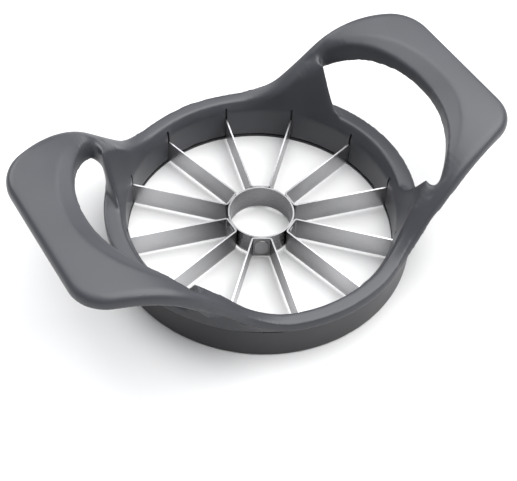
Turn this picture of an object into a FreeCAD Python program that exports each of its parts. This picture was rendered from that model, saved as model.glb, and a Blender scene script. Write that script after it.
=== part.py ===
import FreeCAD, Part
import math
import os

V = FreeCAD.Vector

# Twelve-sector slicer and corer with two raised loop handles.
# X runs from handle to handle, Y across, Z up, and the origin is on the table under the core.
# All sizes are in millimetres and all angles in degrees.

# Blades and core
sector_count = 12
strip_thickness = 0.6
strip_top_z = 11.4
strip_bottom_z = 1.0
strip_bend_radius = 0.9
edge_bevel_height = 1.4
edge_land = 0.15
core_radius = 12.5
core_wall = 0.6

# Ring
bore_radius = 50.4
rim_width = 7.6
rim_thickness = 4.0
ring_top_z = 18.4
sleeve_wall = 3.2
wall_overhang = 0.8
wall_bulge_width = 0.8
shelf_top_z = 19.3
funnel_foot_z = 14.6
rim_crease_width = 1.9

# Base ring
flange_height = 1.0
base_foot_width = 6.5
base_clearance = 0.15
base_edge_round = 1.0

# Slots for the strip ends
slot_clearance = 0.3
slot_reach = 1.5
slot_top_z = 16.4
tongue_top_z = 9.6
tongue_end_gap = 0.2

# Handles
half_length = 87.3
band_thickness = 5.4
crown_x = 74.2
crown_z = 50.6
crown_radius = 36.0
tip_radius = 80.0
valley_radius = 25.5
rise_angle = 45.7
side_arc_radius = 200.0
side_arc_x = 8.0
side_arc_top_y = 49.0
corner_radius = 15.0
waist_radius = 90.0
top_round = 2.8
under_round = 1.0

# Inner crease and bevel, in plan: a circle round the core meets one under each handle
crease_circle_x = 33.7
crease_circle_radius = 41.9
bevel_circle_x = 27.5
bevel_circle_radius = 39.6
bevel_drop = 4.2
rim_bevel_width = 1.1
rim_bevel_drop = 1.9
plan_blend = 3.5
funnel_steps = 72

# Finger openings
opening_circle_x = 22.0
opening_circle_radius = 47.1
opening_end_radius = 1.2
notch_end_x = 48.4
lip_end_x = 46.0
lip_width = 2.0
lip_depth = 8.8
lip_root_depth = 9.5

# Margins that keep a cutting tool clear of the face it cuts
over = 5.0
tool_top_z = crown_z + 2 * over


half_sector = 180.0 / sector_count
rim_foot_z = ring_top_z - rim_thickness
sleeve_radius = bore_radius + sleeve_wall
rim_radius = bore_radius + rim_width
rim_crease_radius = bore_radius + rim_crease_width
wall_radius_x = rim_radius + wall_bulge_width
wall_radius_y = rim_radius - wall_overhang
base_foot_radius = bore_radius + base_foot_width


def polar(radius, angle, z=0.0):
    a = math.radians(angle)
    return V(radius * math.cos(a), radius * math.sin(a), z)


def arc_about(centre, radius, start, end):
    """An arc in the XY plane about a centre, between two angles."""
    mid = (start + end) / 2
    points = [centre + polar(radius, a) for a in (start, mid, end)]
    return Part.Arc(*points).toShape()


def circle_meet(centre_a, radius_a, centre_b, radius_b):
    """Where two circles in the XY plane meet, on the left of the line from the first to the second."""
    line = centre_b - centre_a
    gap = line.Length
    along = (gap * gap + radius_a * radius_a - radius_b * radius_b) / (2 * gap)
    across = math.sqrt(radius_a * radius_a - along * along)
    line.normalize()
    side = V(-line.y, line.x, 0)
    return centre_a + line * along + side * across


def heading(centre, point):
    return math.degrees(math.atan2(point.y - centre.y, point.x - centre.x))


# Saddle: the top of the whole frame is one sheet that is bent along X only
rise = math.radians(rise_angle)
rise_foot_x = crown_x - crown_radius * math.tan(rise / 2) - (crown_z - ring_top_z) / math.tan(rise)
valley_x = rise_foot_x - valley_radius * math.tan(rise / 2)
valley_centre = V(valley_x, 0, ring_top_z + valley_radius)
crown_centre = V(crown_x, 0, crown_z - crown_radius)
tip_centre = V(crown_x, 0, crown_z - tip_radius)
tip_x = half_length + over


def saddle_layer(ring_depth, crown_depth):
    """Valley radius, crown radius and slope of the layer at these depths under the top sheet."""
    low = valley_radius + ring_depth
    high = crown_radius - crown_depth
    gap = crown_centre - valley_centre
    slope = math.atan2(gap.z, gap.x) + math.asin((low + high) / gap.Length)
    return low, high, slope


def saddle_edges(ring_depth=0.0, crown_depth=0.0):
    """Half of a layer's section, from the middle of the ring to past the handle's tip."""
    low, high, slope = saddle_layer(ring_depth, crown_depth)
    far = tip_radius - crown_depth

    def on_valley(a):
        return valley_centre + V(low * math.sin(a), 0, -low * math.cos(a))

    def on_crown(a):
        return crown_centre + V(-high * math.sin(a), 0, high * math.cos(a))

    def on_tip(a):
        return tip_centre + V(far * math.sin(a), 0, far * math.cos(a))

    reach = math.asin((tip_x - crown_x) / far)
    middle = V(0, 0, on_valley(0).z)
    return [Part.LineSegment(middle, on_valley(0)).toShape(),
            Part.Arc(on_valley(0), on_valley(slope / 2), on_valley(slope)).toShape(),
            Part.LineSegment(on_valley(slope), on_crown(slope)).toShape(),
            Part.Arc(on_crown(slope), on_crown(slope / 2), on_crown(0)).toShape(),
            Part.Arc(on_tip(0), on_tip(reach / 2), on_tip(reach)).toShape()]


def sheet_z(x, ring_depth=0.0, crown_depth=0.0):
    """Height of a layer at a distance from the middle."""
    x = abs(x)
    low, high, slope = saddle_layer(ring_depth, crown_depth)
    if x <= valley_x:
        return ring_top_z - ring_depth
    if x <= valley_x + low * math.sin(slope):
        return valley_centre.z - math.sqrt(low ** 2 - (x - valley_x) ** 2)
    if x <= crown_x - high * math.sin(slope):
        start = valley_centre + V(low * math.sin(slope), 0, -low * math.cos(slope))
        return start.z + (x - start.x) * math.tan(slope)
    if x <= crown_x:
        return crown_centre.z + math.sqrt(high ** 2 - (x - crown_x) ** 2)
    return tip_centre.z + math.sqrt((tip_radius - crown_depth) ** 2 - (x - crown_x) ** 2)


def saddle_solid(under):
    """Everything between the top sheet and a lower chain of edges, over the full width."""
    width = 2 * (rim_radius + over)
    top = saddle_edges()
    inner = Part.LineSegment(top[0].Vertexes[0].Point, under[0].Vertexes[0].Point)
    outer = Part.LineSegment(top[-1].Vertexes[-1].Point, under[-1].Vertexes[-1].Point)
    edges = top + under + [inner.toShape(), outer.toShape()]
    half = Part.Face(Part.Wire(Part.__sortEdges__(edges))).extrude(V(0, width, 0))
    half.translate(V(0, -width / 2, 0))
    return half.fuse(half.mirror(V(0, 0, 0), V(1, 0, 0))).removeSplitter()


def mirrored_wire(quarter):
    """A closed wire from the edges of its first quarter."""
    edges = list(quarter)
    edges += [e.mirror(V(0, 0, 0), V(1, 0, 0)) for e in edges]
    edges += [e.mirror(V(0, 0, 0), V(0, 1, 0)) for e in edges]
    return Part.Wire(Part.__sortEdges__(edges))


def frame_outline():
    """Plan of the frame: the rim, a hollow waist, a long side arc and a rounded corner."""
    core = V(0, 0, 0)
    side = V(side_arc_x, side_arc_top_y - side_arc_radius, 0)
    waist = circle_meet(core, rim_radius + waist_radius, side, side_arc_radius + waist_radius)
    corner_x = half_length - corner_radius
    reach = side_arc_radius - corner_radius
    corner = V(corner_x, side.y + math.sqrt(reach ** 2 - (corner_x - side.x) ** 2), 0)
    waist_at = heading(core, waist)
    side_from = heading(side, waist)
    side_to = heading(side, corner)
    quarter = [arc_about(core, rim_radius, 90, waist_at)]
    quarter.append(arc_about(waist, waist_radius, waist_at - 180, side_from - 180))
    quarter.append(arc_about(side, side_arc_radius, side_from, side_to))
    quarter.append(arc_about(corner, corner_radius, side_to, 0))
    quarter.append(Part.LineSegment(V(half_length, corner.y, 0), V(half_length, 0, 0)).toShape())
    return mirrored_wire(quarter)


def circle_reach(centre_x, radius, angle):
    """Distance from the core to a circle that is centred on X, in a direction."""
    a = math.radians(angle)
    return centre_x * math.cos(a) + math.sqrt(radius ** 2 - (centre_x * math.sin(a)) ** 2)


def plan_reach(ring_radius, centre_x, radius, angle):
    """Distance from the core to the outline of the ring and handle circles, blended where they meet."""
    folded = math.degrees(math.acos(abs(math.cos(math.radians(angle)))))
    if centre_x * math.sin(math.radians(folded)) >= radius:
        return ring_radius
    handle = circle_reach(centre_x, radius, folded)
    apart = handle - ring_radius
    return ring_radius + (apart + math.sqrt(apart ** 2 + plan_blend ** 2)) / 2


def funnel_rows(angle):
    """Crease, bevel foot and funnel foot of the inner wall in one direction from the core."""
    crease_r = plan_reach(rim_crease_radius, crease_circle_x, crease_circle_radius, angle)
    crease = polar(crease_r, angle)
    crease.z = sheet_z(crease.x)
    raised = (crease.z - ring_top_z) / (crown_z - ring_top_z)
    bevel_r = plan_reach(rim_crease_radius - rim_bevel_width, bevel_circle_x, bevel_circle_radius, angle)
    drop = rim_bevel_drop + (bevel_drop - rim_bevel_drop) * raised
    bevel = polar(bevel_r, angle, crease.z - drop)
    foot = polar(bore_radius, angle, funnel_foot_z)
    return crease, bevel, foot


def closed_curve(points):
    """A smooth closed curve; equal steps in every row keep the ruled faces between rows even."""
    curve = Part.BSplineCurve()
    curve.interpolate(Points=points, PeriodicFlag=True, Parameters=list(range(len(points) + 1)))
    return curve.toShape()


def funnel_tool():
    """What the funnel and the bore take away inside the frame."""
    rows = [[] for _ in range(5)]
    for step in range(funnel_steps):
        crease, bevel, foot = funnel_rows(step * 360.0 / funnel_steps)
        above = crease + (crease - bevel)
        cap = V(above.x, above.y, tool_top_z)
        base = V(foot.x, foot.y, -over)
        for row, point in zip(rows, (cap, above, bevel, foot, base)):
            row.append(point)
    curves = [closed_curve(row) for row in rows]
    faces = [Part.makeRuledSurface(a, b) for a, b in zip(curves, curves[1:])]
    faces.append(Part.Face(Part.Wire(curves[0])))
    faces.append(Part.Face(Part.Wire(curves[-1])))
    shell = Part.Shell(faces)
    return Part.Solid(shell)


def mirrored_face(half):
    """A face from the edges of its half at +Y."""
    edges = half + [e.mirror(V(0, 0, 0), V(0, 1, 0)) for e in half]
    return Part.Face(Part.Wire(Part.__sortEdges__(edges)))


def crescent_plan():
    """Plan of the gap between the ring's wall and the grip at +X."""
    core = V(0, 0, 0)
    outer = V(opening_circle_x, 0, 0)
    end = circle_meet(core, wall_radius_x + opening_end_radius,
                      outer, opening_circle_radius - opening_end_radius)
    outer_to = heading(outer, end)
    inner_to = heading(core, end)
    return mirrored_face([arc_about(outer, opening_circle_radius, 0, outer_to),
                          arc_about(end, opening_end_radius, outer_to, inner_to + 180),
                          arc_about(core, wall_radius_x, inner_to, 0)])


def segment_plan(centre_x, radius, start_x):
    """Plan of the part of a circle that lies beyond a distance along X."""
    centre = V(centre_x, 0, 0)
    corner = V(start_x, math.sqrt(radius ** 2 - (start_x - centre_x) ** 2), 0)
    return mirrored_face([arc_about(centre, radius, 0, heading(centre, corner)),
                          Part.LineSegment(corner, V(start_x, 0, 0)).toShape()])


def prism(face, low, high):
    solid = face.copy()
    solid.translate(V(0, 0, low))
    return solid.extrude(V(0, 0, high - low))


def both_ends(solid):
    """A piece at +X and its mirror image at -X."""
    return [solid, solid.mirror(V(0, 0, 0), V(1, 0, 0))]


def on_outline(edge, outline, ring_depth=0.0, crown_depth=0.0):
    """Whether an edge runs along the frame's outline in a layer of the saddle."""
    first, last = edge.ParameterRange
    for part in (0.2, 0.5, 0.8):
        p = edge.valueAt(first + (last - first) * part)
        if abs(p.z - sheet_z(p.x, ring_depth, crown_depth)) > 0.01:
            return False
        if outline.distToShape(Part.Vertex(V(p.x, p.y, 0)))[0] > 0.01:
            return False
    return True


def ring_wall(outer_x, outer_y, low, high):
    """An upright wall with an oval outside, wider along X than along Y."""
    oval = Part.Ellipse(V(0, 0, low), outer_x, outer_y)
    face = Part.Face(Part.Wire([oval.toShape()]))
    return face.extrude(V(0, 0, high - low))


def tube(outer, inner, low, high):
    solid = Part.makeCylinder(outer, high - low, V(0, 0, low))
    return solid.cut(Part.makeCylinder(inner, high - low, V(0, 0, low)))


def around(solid, count, start=0.0):
    """Copies of a piece, evenly turned about the core."""
    copies = []
    for k in range(count):
        copy = solid.copy()
        copy.rotate(V(0, 0, 0), V(0, 0, 1), start + k * 360.0 / count)
        copies.append(copy)
    return copies


def make_handle_frame():
    """Rim, funnel wall and both loop handles, moulded as one piece."""
    outline = frame_outline()
    slab = saddle_solid(saddle_edges(rim_thickness, band_thickness))
    band = prism(Part.Face(outline), 0, tool_top_z).common(slab)
    band = band.makeFillet(top_round, [e for e in band.Edges if on_outline(e, outline)])
    under = [e for e in band.Edges if on_outline(e, outline, rim_thickness, band_thickness)]
    band = band.makeFillet(under_round, under)

    floor = Part.LineSegment(V(0, 0, 0), V(tip_x, 0, 0)).toShape()
    wall = ring_wall(wall_radius_x, wall_radius_y, rim_foot_z, tool_top_z).common(saddle_solid([floor]))
    sleeve = Part.makeCylinder(sleeve_radius, rim_foot_z + 1 - flange_height, V(0, 0, flange_height))
    lip = prism(segment_plan(opening_circle_x, opening_circle_radius + lip_width, lip_end_x), 0, tool_top_z)
    lip = lip.common(saddle_solid(saddle_edges(lip_root_depth, lip_depth)))
    frame = band.fuse([wall, sleeve] + both_ends(lip))

    slot_width = strip_thickness + slot_clearance
    slot = Part.makeBox(slot_reach + over, slot_width, slot_top_z - flange_height + over,
                        V(bore_radius - over, -slot_width / 2, flange_height - over))
    slots = Part.makeCompound(around(slot, sector_count, half_sector))
    notch = prism(segment_plan(0, wall_radius_x + base_clearance, notch_end_x), shelf_top_z, tool_top_z)
    opening = prism(crescent_plan(), 0, tool_top_z).fuse(notch)
    openings = Part.makeCompound(both_ends(opening))
    return frame.cut(slots).cut(openings).cut(funnel_tool())


def make_base_ring():
    """Foot of the slicer, with the inner flange that the strips stand on."""
    inner = sleeve_radius + base_clearance
    points = [V(bore_radius, 0, 0), V(base_foot_radius, 0, 0), V(wall_radius_y, 0, rim_foot_z),
              V(inner, 0, rim_foot_z), V(inner, 0, flange_height), V(bore_radius, 0, flange_height)]
    profile = Part.Face(Part.makePolygon(points + [points[0]]))
    ring = profile.revolve(V(0, 0, 0), V(0, 0, 1), 360)
    foot = [e for e in ring.Edges if e.BoundBox.ZMax < 0.01 and e.BoundBox.XMax > base_foot_radius - 0.1]
    return ring.makeFillet(base_edge_round, foot)


def make_core_tube():
    """Open tube that cuts out the core, ground to an edge at its lower end."""
    points = [V(core_radius - core_wall, 0, strip_bottom_z),
              V(core_radius - core_wall + edge_land, 0, strip_bottom_z),
              V(core_radius, 0, strip_bottom_z + edge_bevel_height),
              V(core_radius, 0, strip_top_z),
              V(core_radius - core_wall, 0, strip_top_z)]
    profile = Part.Face(Part.makePolygon(points + [points[0]]))
    return profile.revolve(V(0, 0, 0), V(0, 0, 1), 360)


def strip_side(offset):
    """Half of one side of the bent strip, in plan, from the tab's middle to the blade's end."""
    tab_x = core_radius + strip_thickness / 2
    a = math.radians(half_sector)
    turn = math.radians(90 - half_sector)
    bend_y = tab_x * math.tan(a) - strip_bend_radius * math.tan(turn / 2)
    centre = V(tab_x + strip_bend_radius, bend_y, 0)
    radius = strip_bend_radius - offset
    blade_end = bore_radius + slot_reach - tongue_end_gap
    along = V(math.cos(a), math.sin(a), 0)
    inward = V(math.sin(a), -math.cos(a), 0)
    tab_end = centre - V(radius, 0, 0)
    blade_start = centre - inward * radius
    mid = centre - (V(1, 0, 0) + inward).normalize() * radius
    tip = along * blade_end + inward * offset
    return [Part.LineSegment(V(tab_end.x, 0, 0), tab_end).toShape(),
            Part.Arc(tab_end, mid, blade_start).toShape(),
            Part.LineSegment(blade_start, tip).toShape()], tip


def strip_plan(thickness, z):
    """Closed plan of the strip at a thickness about its middle line."""
    near, near_tip = strip_side(-thickness / 2)
    far, far_tip = strip_side(thickness / 2)
    half = near + far + [Part.LineSegment(near_tip, far_tip).toShape()]
    edges = half + [e.mirror(V(0, 0, 0), V(0, 1, 0)) for e in half]
    wire = Part.Wire(Part.__sortEdges__(edges))
    wire.translate(V(0, 0, z))
    return wire


def make_blade_strip():
    """A strip bent into a tab, which is welded to the tube, and two radial blades with ground edges."""
    bevel_top_z = strip_bottom_z + edge_bevel_height
    ground = Part.makeLoft([strip_plan(edge_land, strip_bottom_z), strip_plan(strip_thickness, bevel_top_z)],
                           True, True)
    body = Part.Face(strip_plan(strip_thickness, bevel_top_z)).extrude(V(0, 0, strip_top_z - bevel_top_z))
    strip = body.fuse(ground).removeSplitter()
    shoulder = tube(bore_radius + slot_reach + over, bore_radius - tongue_end_gap,
                    tongue_top_z, strip_top_z + over)
    return strip.cut(shoulder)


def main():
    os.makedirs("parts", exist_ok=True)
    pieces = {"handle_frame": make_handle_frame(), "base_ring": make_base_ring(),
              "core_tube": make_core_tube()}
    for number, strip in enumerate(around(make_blade_strip(), sector_count // 2), 1):
        pieces["blade_strip_%d" % number] = strip
    for name, shape in pieces.items():
        shape.exportStep("parts/%s.step" % name)


if __name__ == "__main__":
    main()
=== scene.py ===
import bpy
import bmesh
import math
from mathutils import Matrix, Vector


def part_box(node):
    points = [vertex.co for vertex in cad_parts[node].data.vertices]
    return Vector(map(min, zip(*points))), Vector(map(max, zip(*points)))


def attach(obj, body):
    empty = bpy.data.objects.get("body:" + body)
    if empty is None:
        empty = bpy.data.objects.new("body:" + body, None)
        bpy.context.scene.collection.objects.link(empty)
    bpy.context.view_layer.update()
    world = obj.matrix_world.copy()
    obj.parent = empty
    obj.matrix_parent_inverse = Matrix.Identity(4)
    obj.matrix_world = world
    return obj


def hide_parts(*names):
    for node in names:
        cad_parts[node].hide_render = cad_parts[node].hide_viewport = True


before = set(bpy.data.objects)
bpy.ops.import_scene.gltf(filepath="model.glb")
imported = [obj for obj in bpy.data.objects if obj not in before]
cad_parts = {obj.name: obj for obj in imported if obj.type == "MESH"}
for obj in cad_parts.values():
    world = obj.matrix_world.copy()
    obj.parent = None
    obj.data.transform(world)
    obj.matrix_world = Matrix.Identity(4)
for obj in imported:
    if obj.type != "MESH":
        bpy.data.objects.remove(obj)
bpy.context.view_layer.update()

bl_info = {
    "name": "Twelve-sector slicer",
    "version": (1, 0, 0),
    "blender": (4, 5, 0),
    "location": "3D View > Sidebar > Slicer",
    "description": "Finishes a press-down slicer with radial blades and two loop handles",
    "category": "Object",
}

MM = 0.001
STRIP_COUNT = 6
STRIP_NODES = ["blade_strip_%d" % number for number in range(1, STRIP_COUNT + 1)]

# Sockets of a Mix node that mixes colours
MIX_FACTOR, MIX_A, MIX_B, MIX_RESULT = 0, 6, 7, 2

# Materials. The grains are in millimetres.
PLASTIC_GRAIN = 0.45
PLASTIC_IOR = 1.53
HANDLING_PATCH = 18 * MM
STEEL_GRAIN = 0.12
ROLLING_STRETCH = 40
STEEL_CLOUD = 14 * MM
# Distances from the core over which the steel's painted shade fades out to full brightness
PAINTED_SHADE_START, PAINTED_SHADE_END = 13 * MM, 46 * MM
# The weld marks lie inside the steel's painted shade, so their colour is lighter to make up for it
WELD_COLOUR = "#d6d6d8"
NOISE_MIDDLE = (0.25, 0.75)

# Points of the CAD mesh that are closer than this are one point
MERGE_DISTANCE = 0.001 * MM

# How far the boxes that fill the blade slots start and end beyond the bore's wall, how far their
# foot and head stay inside the slot, and how much wider they are than it
FILL_START, FILL_END = 0.1 * MM, 2.2 * MM
FILL_FOOT, FILL_HEAD = 0.2 * MM, 0.4 * MM
FILL_SPARE = 0.7 * MM

# How far the boxes that cut the slots again reach into the bore, into the wall and below the frame
CUT_INWARDS, CUT_OUTWARDS, CUT_FOOT = 3 * MM, 1.5 * MM, 2 * MM

# Bridges at the ends of the finger openings: along X from the opening's reach, inwards, along Y
# from the middle plane, and in height. The grip climbs at 45 degrees there and the gap runs
# inwards, so they are sheared both ways.
BRIDGE_START, BRIDGE_END = 6.2 * MM, 0.6 * MM
BRIDGE_NEAR, BRIDGE_FAR = 35.6 * MM, 42.0 * MM
BRIDGE_TOP, BRIDGE_DEPTH = 35.5 * MM, 10.0 * MM
BRIDGE_SHEAR = Matrix(((1, 0, 0, 0), (-0.6, 1, 0, 0), (1, 0, 1, 0), (0, 0, 0, 1)))

# Regions of the frame that are eased, by distance from the middle planes, height above the table
# and upward tilt of the surface
WALL_END_REACHES = (8.0 * MM, 6.5 * MM, 5.0 * MM, 3.5 * MM)
WALL_END_SIDE, WALL_END_FOOT = 40 * MM, 20.5 * MM
FINGER_CENTRE, FINGER_START = 22 * MM, 40 * MM
FINGER_NEAR, FINGER_FAR = 44 * MM, 51 * MM
FINGER_FOOT, FINGER_TILT = 24 * MM, 0.3
LIP_START, LIP_END, LIP_SIDE = 28 * MM, 52 * MM, 36 * MM
LIP_FOOT, LIP_TILT = 15.5 * MM, -0.05
SHARP_ANGLE = math.radians(50)

# Weld marks: corner radius and margin round the dimple as shares of the width, dimple and rounded
# edge as shares of the rise
WELD_CORNER, WELD_MARGIN = 0.47, 0.2
WELD_DIMPLE, WELD_EDGE = 0.8, 0.9

# Stage: half the floor's width, and the name, place, size and power of each softbox, in metres
# and watts
FLOOR_REACH = 4.0
FLOOR_COLOUR = "#c8c8c8"
WORLD_COLOUR = "#e9ecf2"
WORLD_STRENGTH = 0.45
SOFTBOXES = (
    ("overhead_softbox", (0.4, -0.05, 1.15), (1.9, 1.9), 56.0),
    ("back_softbox", (-0.3, 1.1, 0.8), (0.9, 0.4), 7.0),
)

# Camera: angles in degrees, distance from the origin in metres, sensor and lens in millimetres
CAMERA_AZIMUTH, CAMERA_ELEVATION, CAMERA_ROLL = -33.861, 50.5, 3.506
CAMERA_DISTANCE = 0.4578
CAMERA_SENSOR, CAMERA_LENS = 36.0, 83.14
CAMERA_SHIFT_X, CAMERA_SHIFT_Y = -0.0029, -0.0185
CAMERA_CLIP_START = 0.01


def linear(hex_colour):
    """Linear RGBA from an sRGB hex colour."""
    channels = []
    for start in (1, 3, 5):
        c = int(hex_colour[start:start + 2], 16) / 255
        channels.append(c / 12.92 if c <= 0.04045 else ((c + 0.055) / 1.055) ** 2.4)
    return (*channels, 1.0)


def add_node(tree, kind, settings=None, values=None, links=None):
    """Adds one shader node with its settings, its socket values and its incoming links."""
    node = tree.nodes.new(kind)
    for name, value in (settings or {}).items():
        setattr(node, name, value)
    for socket, value in (values or {}).items():
        node.inputs[socket].default_value = value
    for socket, source in (links or {}).items():
        tree.links.new(source, node.inputs[socket])
    return node


def new_material(name):
    """An empty node material, with its tree and its output node."""
    material = bpy.data.materials.new(name)
    material.use_nodes = True
    material.node_tree.nodes.clear()
    output = add_node(material.node_tree, "ShaderNodeOutputMaterial")
    return material, material.node_tree, output


def give_material(obj, material):
    """Puts a material in every slot of a piece."""
    if not obj.data.materials:
        obj.data.materials.append(material)
    for slot in obj.material_slots:
        slot.material = material


def link_piece(name, bm):
    """Makes a piece at the origin from a finished bmesh."""
    mesh = bpy.data.meshes.new(name)
    bm.to_mesh(mesh)
    bm.free()
    piece = bpy.data.objects.new(name, mesh)
    bpy.context.scene.collection.objects.link(piece)
    return piece


def applied_mesh(context, piece):
    """A mesh with the piece's modifiers worked in, which are then taken off the piece."""
    context.view_layer.update()
    evaluated = piece.evaluated_get(context.evaluated_depsgraph_get())
    mesh = bpy.data.meshes.new_from_object(evaluated)
    piece.modifiers.clear()
    return mesh


def noise(tree, place, values):
    """Adds a noise with these socket values and returns its strength."""
    return add_node(tree, "ShaderNodeTexNoise", values=values,
                    links={"Vector": place}).outputs["Fac"]


def spread(tree, value, source, target, interpolation="LINEAR"):
    """Maps a value from one range onto another."""
    return add_node(tree, "ShaderNodeMapRange", {"interpolation_type": interpolation},
                    values={"From Min": source[0], "From Max": source[1],
                            "To Min": target[0], "To Max": target[1]},
                    links={"Value": value}).outputs[0]


def tinted(tree, colour, tint):
    """Multiplies a hex colour by a tint."""
    return add_node(tree, "ShaderNodeMix", {"data_type": "RGBA", "blend_type": "MULTIPLY"},
                    values={MIX_FACTOR: 1.0, MIX_A: linear(colour)},
                    links={MIX_B: tint}).outputs[MIX_RESULT]


def relief(tree, height, strength, distance):
    """Turns a grain into a fine relief."""
    return add_node(tree, "ShaderNodeBump", values={"Strength": strength, "Distance": distance},
                    links={"Height": height}).outputs[0]


def join_surface(tree, output, values, links=None):
    """Adds the surface shader and joins it to the material's output."""
    shader = add_node(tree, "ShaderNodeBsdfPrincipled", values=values, links=links)
    tree.links.new(shader.outputs[0], output.inputs["Surface"])


def tube_coordinates(tree):
    """Object coordinates, the distance from the core, and distance and height as one vector."""
    place = add_node(tree, "ShaderNodeTexCoord").outputs["Object"]
    axes = add_node(tree, "ShaderNodeSeparateXYZ", links={0: place})
    flat = add_node(tree, "ShaderNodeCombineXYZ", links={0: axes.outputs[0], 1: axes.outputs[1]})
    reach = add_node(tree, "ShaderNodeVectorMath", {"operation": "LENGTH"},
                     links={0: flat.outputs[0]}).outputs["Value"]
    turned = add_node(tree, "ShaderNodeCombineXYZ", links={0: reach, 2: axes.outputs[2]})
    return place, reach, turned.outputs[0]


def moulded_abs(name, colour, roughness, grain_mm):
    """Injection-moulded ABS: graphite grey, with a spark-eroded grain that gives a satin sheen."""
    material, tree, output = new_material(name)
    place = add_node(tree, "ShaderNodeTexCoord").outputs["Object"]
    grain = noise(tree, place, {"Scale": 1 / (grain_mm * MM), "Detail": 3.0, "Roughness": 0.55})
    # Broad soft patches, where hands and handling have polished the grain a little
    handling = noise(tree, place, {"Scale": 1 / HANDLING_PATCH, "Detail": 2.0})
    tint = spread(tree, handling, (0.3, 0.7), (0.94, 1.06))
    sheen = spread(tree, handling, NOISE_MIDDLE, (roughness - 0.04, roughness + 0.05))
    join_surface(tree, output, {"IOR": PLASTIC_IOR, "Specular IOR Level": 0.35},
                 {"Base Color": tinted(tree, colour, tint), "Roughness": sheen,
                  "Normal": relief(tree, grain, 0.22, 0.02 * MM)})
    return material


def rolled_stainless(name, colour, roughness, grain_mm):
    """Rolled stainless sheet: fine lines along the strip, which pull reflections out upwards."""
    material, tree, output = new_material(name)
    place, reach, turned = tube_coordinates(tree)
    # Rolling lines are far longer than high, and as coarse as shows from half a metre away
    lines = add_node(tree, "ShaderNodeMapping", {"vector_type": "POINT"},
                     values={"Scale": (1 / (grain_mm * ROLLING_STRETCH * MM), 1.0,
                                       1 / (grain_mm * MM))},
                     links={"Vector": turned})
    grain = noise(tree, lines.outputs[0], {"Scale": 1.0, "Detail": 3.0, "Roughness": 0.6})
    cloud = noise(tree, place, {"Scale": 1 / STEEL_CLOUD, "Detail": 1.5})
    sheen = spread(tree, grain, NOISE_MIDDLE, (roughness - 0.05, roughness + 0.07))
    # Painted shade: the steel is painted darker over the first few centimetres from the core and
    # full bright at the outer ends, standing in for the dark reflections among the crowded blades
    core_painted_shade = spread(tree, reach, (PAINTED_SHADE_START, PAINTED_SHADE_END), (0.3, 1.0), "SMOOTHSTEP")
    tint = add_node(tree, "ShaderNodeMath", {"operation": "MULTIPLY_ADD"}, values={1: 0.3},
                    links={0: cloud, 2: core_painted_shade})
    join_surface(tree, output, {"Metallic": 1.0},
                 {"Base Color": tinted(tree, colour, tint.outputs[0]), "Roughness": sheen,
                  "Normal": relief(tree, grain, 0.12, 0.01 * MM)})
    return material


class SlicerFinish(bpy.types.PropertyGroup):
    """Colours and surface values of the slicer's materials."""
    frame_colour: bpy.props.StringProperty(
        name="Frame colour", description="sRGB hex colour of the handle frame", default="#37383c")
    # The base ring is the frame's plastic; its darker colour is painted shade for its upright
    # sides
    base_painted_shade_colour: bpy.props.StringProperty(
        name="Base colour", description="sRGB hex colour of the base ring", default="#222225")
    steel_colour: bpy.props.StringProperty(
        name="Steel colour", description="sRGB hex colour of the stainless steel",
        default="#adadaf")
    frame_roughness: bpy.props.FloatProperty(
        name="Frame roughness", description="Roughness of the moulded plastic",
        default=0.38, min=0.0, max=1.0, subtype="FACTOR")
    steel_roughness: bpy.props.FloatProperty(
        name="Steel roughness", description="Roughness of the rolled sheet",
        default=0.3, min=0.0, max=1.0, subtype="FACTOR")


class SlicerSizes(bpy.types.PropertyGroup):
    """Sizes of the shapes that are worked into the frame and added to the tabs."""
    bore_reach: bpy.props.FloatProperty(
        name="Bore radius", description="Distance from the core's axis to the frame's inside wall",
        default=50.4 * MM, unit="LENGTH")
    slot_top: bpy.props.FloatProperty(
        name="Slot top", description="Height at which the blade slots end",
        default=16.4 * MM, unit="LENGTH")
    slot_width: bpy.props.FloatProperty(
        name="Slot width", description="Width of a blade slot", default=0.9 * MM, unit="LENGTH")
    face_size: bpy.props.FloatProperty(
        name="Face size", description="Width of the even faces that carry the mould's radii",
        default=0.68 * MM, unit="LENGTH")
    rounding: bpy.props.IntProperty(
        name="Rounding", description="How many times the frame's edges are eased",
        default=8, min=0)
    opening_reach: bpy.props.FloatProperty(
        name="Opening reach",
        description="Distance along X from the core to the wall's ends at a finger opening",
        default=48.4 * MM, unit="LENGTH")
    end_rounding: bpy.props.IntProperty(
        name="End rounding", description="How many times the wall's ends are eased at each step",
        default=16, min=0)
    weld_width: bpy.props.FloatProperty(
        name="Weld width", description="Width of the oval weld mark on each tab",
        default=5.2 * MM, unit="LENGTH")
    weld_height: bpy.props.FloatProperty(
        name="Weld height", description="Height of the oval weld mark on each tab",
        default=7.6 * MM, unit="LENGTH")
    weld_rise: bpy.props.FloatProperty(
        name="Weld rise", description="How far the weld mark stands out of the tab",
        default=0.22 * MM, unit="LENGTH")
    tab_reach: bpy.props.FloatProperty(
        name="Tab reach", description="Distance from the core's axis to the outside of a tab",
        default=13.1 * MM, unit="LENGTH")


def slot_boxes(bm, inner, outer, low, high, width):
    """Adds one upright box for each blade end, all round the bore."""
    for turn in range(2 * STRIP_COUNT):
        box = bmesh.ops.create_cube(bm, size=1.0)["verts"]
        bmesh.ops.scale(bm, verts=box, vec=(outer - inner, width, high - low))
        bmesh.ops.translate(bm, verts=box, vec=((inner + outer) / 2, 0, (low + high) / 2))
        bmesh.ops.rotate(bm, verts=box, cent=(0, 0, 0),
                         matrix=Matrix.Rotation((turn + 0.5) * math.pi / STRIP_COUNT, 3, "Z"))


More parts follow.
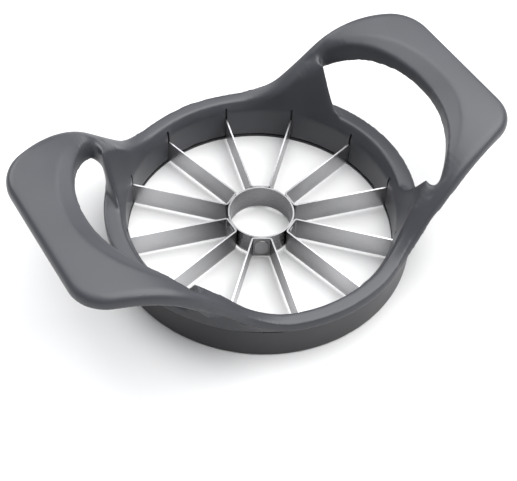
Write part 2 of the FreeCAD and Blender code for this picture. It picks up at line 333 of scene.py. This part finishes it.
def opening_bridges(bm, start, end):
    """Adds a sloping block at each end of both openings, where the wall runs up into the grip."""
    length = (end - start, BRIDGE_FAR - BRIDGE_NEAR, BRIDGE_DEPTH)
    middle = ((start + end) / 2, (BRIDGE_NEAR + BRIDGE_FAR) / 2, BRIDGE_TOP - BRIDGE_DEPTH / 2)
    for side in (-1, 1):
        for flank in (-1, 1):
            block = bmesh.ops.create_cube(bm, size=1.0)["verts"]
            bmesh.ops.scale(bm, verts=block, vec=length)
            bmesh.ops.transform(bm, matrix=BRIDGE_SHEAR, verts=block)
            bmesh.ops.translate(bm, verts=block, vec=middle)
            bmesh.ops.scale(bm, verts=block, vec=(side, flank, 1))
            if side * flank < 0:
                faces = list({f for v in block for f in v.link_faces})
                bmesh.ops.reverse_faces(bm, faces=faces)


def at_wall_end(v, opening_reach, reach):
    """Whether a point is near one of the wall's thin ends at a finger opening."""
    return (abs(abs(v.co.x) - opening_reach) < reach and abs(v.co.y) < WALL_END_SIDE
            and v.co.z > WALL_END_FOOT)


def on_finger_edge(v):
    """Whether a point is on the outer edge of a finger opening, below the top of the grip."""
    arc = math.hypot(abs(v.co.x) - FINGER_CENTRE, v.co.y)
    return (FINGER_NEAR < arc < FINGER_FAR and abs(v.co.x) > FINGER_START
            and v.co.z > FINGER_FOOT and v.normal.z < FINGER_TILT)


def under_grip(v):
    """Whether a point is below a grip, where the wall's lip runs out into the rim."""
    return (LIP_START < abs(v.co.x) < LIP_END and abs(v.co.y) > LIP_SIDE
            and v.co.z > LIP_FOOT and v.normal.z < LIP_TILT)


def ease(bm, verts, steps):
    """Moves points halfway towards their neighbours' middle, this many times."""
    for step in range(steps):
        bmesh.ops.smooth_vert(bm, verts=verts, factor=0.5, use_axis_x=True, use_axis_y=True,
                              use_axis_z=True)


def ease_frame(mesh, sizes):
    """Rounds the parts of the frame's mesh that the mould leaves softer than the rest."""
    bm = bmesh.new()
    bm.from_mesh(mesh)
    # The wall's own ends are thin, so they are rounded more and more towards their edge
    for reach in WALL_END_REACHES:
        ends = [v for v in bm.verts if at_wall_end(v, sizes.opening_reach, reach)]
        ease(bm, ends, sizes.end_rounding)
    # The finger side of each opening has a full soft edge
    bm.normal_update()
    ease(bm, [v for v in bm.verts if on_finger_edge(v)], sizes.end_rounding)
    bm.normal_update()
    ease(bm, [v for v in bm.verts if under_grip(v)], 2 * sizes.end_rounding)
    bm.to_mesh(mesh)
    bm.free()


class SLICER_OT_handle_frame(bpy.types.Operator):
    """Make the moulded handle frame, its edges and creases rounded as the mould leaves them"""
    bl_idname = "slicer.handle_frame"
    bl_label = "Handle frame"

    def execute(self, context):
        finish = context.scene.slicer_finish
        sizes = context.scene.slicer_sizes
        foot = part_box("handle_frame")[0][2]
        bm = bmesh.new()
        bm.from_mesh(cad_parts["handle_frame"].data)
        bmesh.ops.remove_doubles(bm, verts=bm.verts[:], dist=MERGE_DISTANCE)
        # The slots are narrower than the rounding, so they are filled first and cut again after it
        slot_boxes(bm, sizes.bore_reach + FILL_START, sizes.bore_reach + FILL_END,
                   foot + FILL_FOOT, sizes.slot_top - FILL_HEAD, sizes.slot_width + FILL_SPARE)
        opening_bridges(bm, sizes.opening_reach - BRIDGE_START, sizes.opening_reach - BRIDGE_END)
        piece = link_piece("moulded_frame", bm)
        remesh = piece.modifiers.new("even_faces", "REMESH")
        remesh.mode = "VOXEL"
        remesh.voxel_size = sizes.face_size
        smooth = piece.modifiers.new("mould_radii", "SMOOTH")
        smooth.factor = 0.5
        smooth.iterations = sizes.rounding
        eased = applied_mesh(context, piece)
        ease_frame(eased, sizes)
        piece.data = eased

        bm = bmesh.new()
        slot_boxes(bm, sizes.bore_reach - CUT_INWARDS, sizes.bore_reach + CUT_OUTWARDS,
                   foot - CUT_FOOT, sizes.slot_top, sizes.slot_width)
        cutter = link_piece("slot_cutter", bm)
        cut = piece.modifiers.new("blade_slots", "BOOLEAN")
        cut.operation = "DIFFERENCE"
        cut.solver = "EXACT"
        cut.object = cutter
        piece.data = applied_mesh(context, piece)
        bpy.data.objects.remove(cutter)
        piece.data.shade_smooth()
        piece.data.set_sharp_from_angle(angle=SHARP_ANGLE)

        give_material(piece, moulded_abs("moulded_abs_graphite_satin", finish.frame_colour,
                                         finish.frame_roughness, PLASTIC_GRAIN))
        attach(piece, "root")
        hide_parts("handle_frame")
        return {"FINISHED"}


class SLICER_OT_base_ring(bpy.types.Operator):
    """Finish the base ring as the frame's moulded plastic, painted darker to stand in for the
    shade on its upright sides
    """
    bl_idname = "slicer.base_ring"
    bl_label = "Base ring"

    def execute(self, context):
        finish = context.scene.slicer_finish
        give_material(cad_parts["base_ring"],
                      moulded_abs("moulded_abs_graphite_painted_shade_base", finish.base_painted_shade_colour,
                                  finish.frame_roughness, PLASTIC_GRAIN))
        return {"FINISHED"}


class SLICER_OT_steel(bpy.types.Operator):
    """Finish the blades and the core tube as rolled stainless sheet"""
    bl_idname = "slicer.steel"
    bl_label = "Blades and core tube"

    def execute(self, context):
        finish = context.scene.slicer_finish
        blades = rolled_stainless("rolled_stainless_blades", finish.steel_colour,
                                  finish.steel_roughness, STEEL_GRAIN)
        for name in STRIP_NODES:
            give_material(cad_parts[name], blades)
        # The core tube lies inside the painted shade's start, so it is painted at its darkest all
        # over
        tube = rolled_stainless("rolled_stainless_core", finish.steel_colour,
                                finish.steel_roughness - 0.04, STEEL_GRAIN)
        give_material(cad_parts["core_tube"], tube)
        return {"FINISHED"}


class SLICER_OT_welds(bpy.types.Operator):
    """Add the oval weld marks on the tabs"""
    bl_idname = "slicer.welds"
    bl_label = "Weld marks"

    def execute(self, context):
        finish = context.scene.slicer_finish
        sizes = context.scene.slicer_sizes
        low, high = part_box("core_tube")
        height = (low[2] + high[2]) / 2
        bm = bmesh.new()
        oval = bmesh.ops.create_grid(bm, x_segments=1, y_segments=1, size=0.5)["verts"]
        bmesh.ops.scale(bm, verts=oval, vec=(sizes.weld_height, sizes.weld_width, 1.0))
        bmesh.ops.bevel(bm, geom=oval, offset=sizes.weld_width * WELD_CORNER, affect="VERTICES",
                        segments=8, profile=0.5, material=-1)
        top = bmesh.ops.extrude_face_region(bm, geom=bm.faces[:])["geom"]
        raised = [v for v in top if isinstance(v, bmesh.types.BMVert)]
        bmesh.ops.translate(bm, verts=raised, vec=(0, 0, sizes.weld_rise))
        rim = [e for e in bm.edges if all(v in raised for v in e.verts)]
        crown = [f for f in top if isinstance(f, bmesh.types.BMFace)]
        bmesh.ops.inset_region(bm, faces=crown, thickness=sizes.weld_width * WELD_MARGIN,
                               depth=-sizes.weld_rise * WELD_DIMPLE)
        bmesh.ops.bevel(bm, geom=rim, offset=sizes.weld_rise * WELD_EDGE, affect="EDGES",
                        segments=3, profile=0.5, material=-1)
        upright = Matrix.Rotation(math.radians(90), 4, "Y")
        place = Matrix.Translation((sizes.tab_reach, 0, height))
        bmesh.ops.transform(bm, matrix=place @ upright, verts=bm.verts[:])
        one = bm.verts[:] + bm.edges[:] + bm.faces[:]
        for turn in range(1, STRIP_COUNT):
            made = bmesh.ops.duplicate(bm, geom=one)["geom"]
            bmesh.ops.rotate(bm, verts=[v for v in made if isinstance(v, bmesh.types.BMVert)],
                             cent=(0, 0, 0),
                             matrix=Matrix.Rotation(turn * math.tau / STRIP_COUNT, 3, "Z"))
        bmesh.ops.recalc_face_normals(bm, faces=bm.faces[:])
        piece = link_piece("weld_marks", bm)
        piece.data.shade_smooth()
        give_material(piece, rolled_stainless("weld_stainless_matt", WELD_COLOUR,
                                              finish.steel_roughness + 0.12, STEEL_GRAIN))
        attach(piece, "root")
        return {"FINISHED"}


def add_softbox(scene, name, place, size, power):
    """Adds a rectangular area light that faces the origin."""
    light = bpy.data.lights.new(name, "AREA")
    light.shape = "RECTANGLE"
    light.size = size[0]
    light.size_y = size[1]
    light.energy = power
    lamp = bpy.data.objects.new(name, light)
    lamp.location = place
    lamp.rotation_euler = (-Vector(place)).to_track_quat("-Z", "Y").to_euler()
    scene.collection.objects.link(lamp)


def add_camera(scene):
    """Adds the camera, looking at the origin from its azimuth, elevation and distance."""
    azimuth = math.radians(CAMERA_AZIMUTH)
    elevation = math.radians(CAMERA_ELEVATION)
    roll = math.radians(CAMERA_ROLL)
    right = Vector((math.cos(azimuth), math.sin(azimuth), 0))
    back = Vector((math.sin(azimuth) * math.cos(elevation),
                   -math.cos(azimuth) * math.cos(elevation), math.sin(elevation)))
    up = back.cross(right)
    turned_right = right * math.cos(roll) + up * math.sin(roll)
    turned_up = up * math.cos(roll) - right * math.sin(roll)
    camera = bpy.data.cameras.new("camera")
    camera.sensor_fit = "HORIZONTAL"
    camera.sensor_width = CAMERA_SENSOR
    camera.lens = CAMERA_LENS
    camera.shift_x = CAMERA_SHIFT_X
    camera.shift_y = CAMERA_SHIFT_Y
    camera.clip_start = CAMERA_CLIP_START
    viewer = bpy.data.objects.new("camera", camera)
    place = Matrix((turned_right, turned_up, back)).transposed().to_4x4()
    place.translation = back * CAMERA_DISTANCE
    viewer.matrix_world = place
    scene.collection.objects.link(viewer)
    scene.camera = viewer


class SLICER_OT_stage(bpy.types.Operator):
    """Add the pale floor, the soft lights and the camera"""
    bl_idname = "slicer.stage"
    bl_label = "Stage"

    def execute(self, context):
        scene = context.scene
        bm = bmesh.new()
        bmesh.ops.create_grid(bm, x_segments=1, y_segments=1, size=FLOOR_REACH)
        floor = link_piece("floor", bm)
        material, tree, output = new_material("white_matt_board")
        join_surface(tree, output, {"Base Color": linear(FLOOR_COLOUR), "Roughness": 0.9,
                                    "Specular IOR Level": 0.1})
        give_material(floor, material)

        world = bpy.data.worlds.new("studio")
        world.use_nodes = True
        background = world.node_tree.nodes["Background"]
        background.inputs["Color"].default_value = linear(WORLD_COLOUR)
        background.inputs["Strength"].default_value = WORLD_STRENGTH
        scene.world = world
        scene.view_settings.view_transform = "Standard"

        for name, place, size, power in SOFTBOXES:
            add_softbox(scene, name, place, size, power)
        add_camera(scene)
        return {"FINISHED"}


class SLICER_PT_pieces(bpy.types.Panel):
    """Lists the slicer's pieces and their sizes"""
    bl_label = "Slicer"
    bl_idname = "SLICER_PT_pieces"
    bl_space_type = "VIEW_3D"
    bl_region_type = "UI"
    bl_category = "Slicer"

    def draw(self, context):
        layout = self.layout
        for group in (context.scene.slicer_finish, context.scene.slicer_sizes):
            for name in group.__annotations__:
                layout.prop(group, name)
        for operator in operators:
            layout.operator(operator.bl_idname)


operators = (SLICER_OT_handle_frame, SLICER_OT_base_ring, SLICER_OT_steel, SLICER_OT_welds,
             SLICER_OT_stage)
classes = (SlicerFinish, SlicerSizes) + operators + (SLICER_PT_pieces,)


def register():
    for cls in classes:
        bpy.utils.register_class(cls)
    bpy.types.Scene.slicer_finish = bpy.props.PointerProperty(type=SlicerFinish)
    bpy.types.Scene.slicer_sizes = bpy.props.PointerProperty(type=SlicerSizes)


def unregister():
    del bpy.types.Scene.slicer_sizes
    del bpy.types.Scene.slicer_finish
    for cls in reversed(classes):
        bpy.utils.unregister_class(cls)


def main():
    register()
    bpy.ops.slicer.handle_frame()
    bpy.ops.slicer.base_ring()
    bpy.ops.slicer.steel()
    bpy.ops.slicer.welds()
    bpy.ops.slicer.stage()
    bpy.context.view_layer.update()


if __name__ == "__main__":
    main()
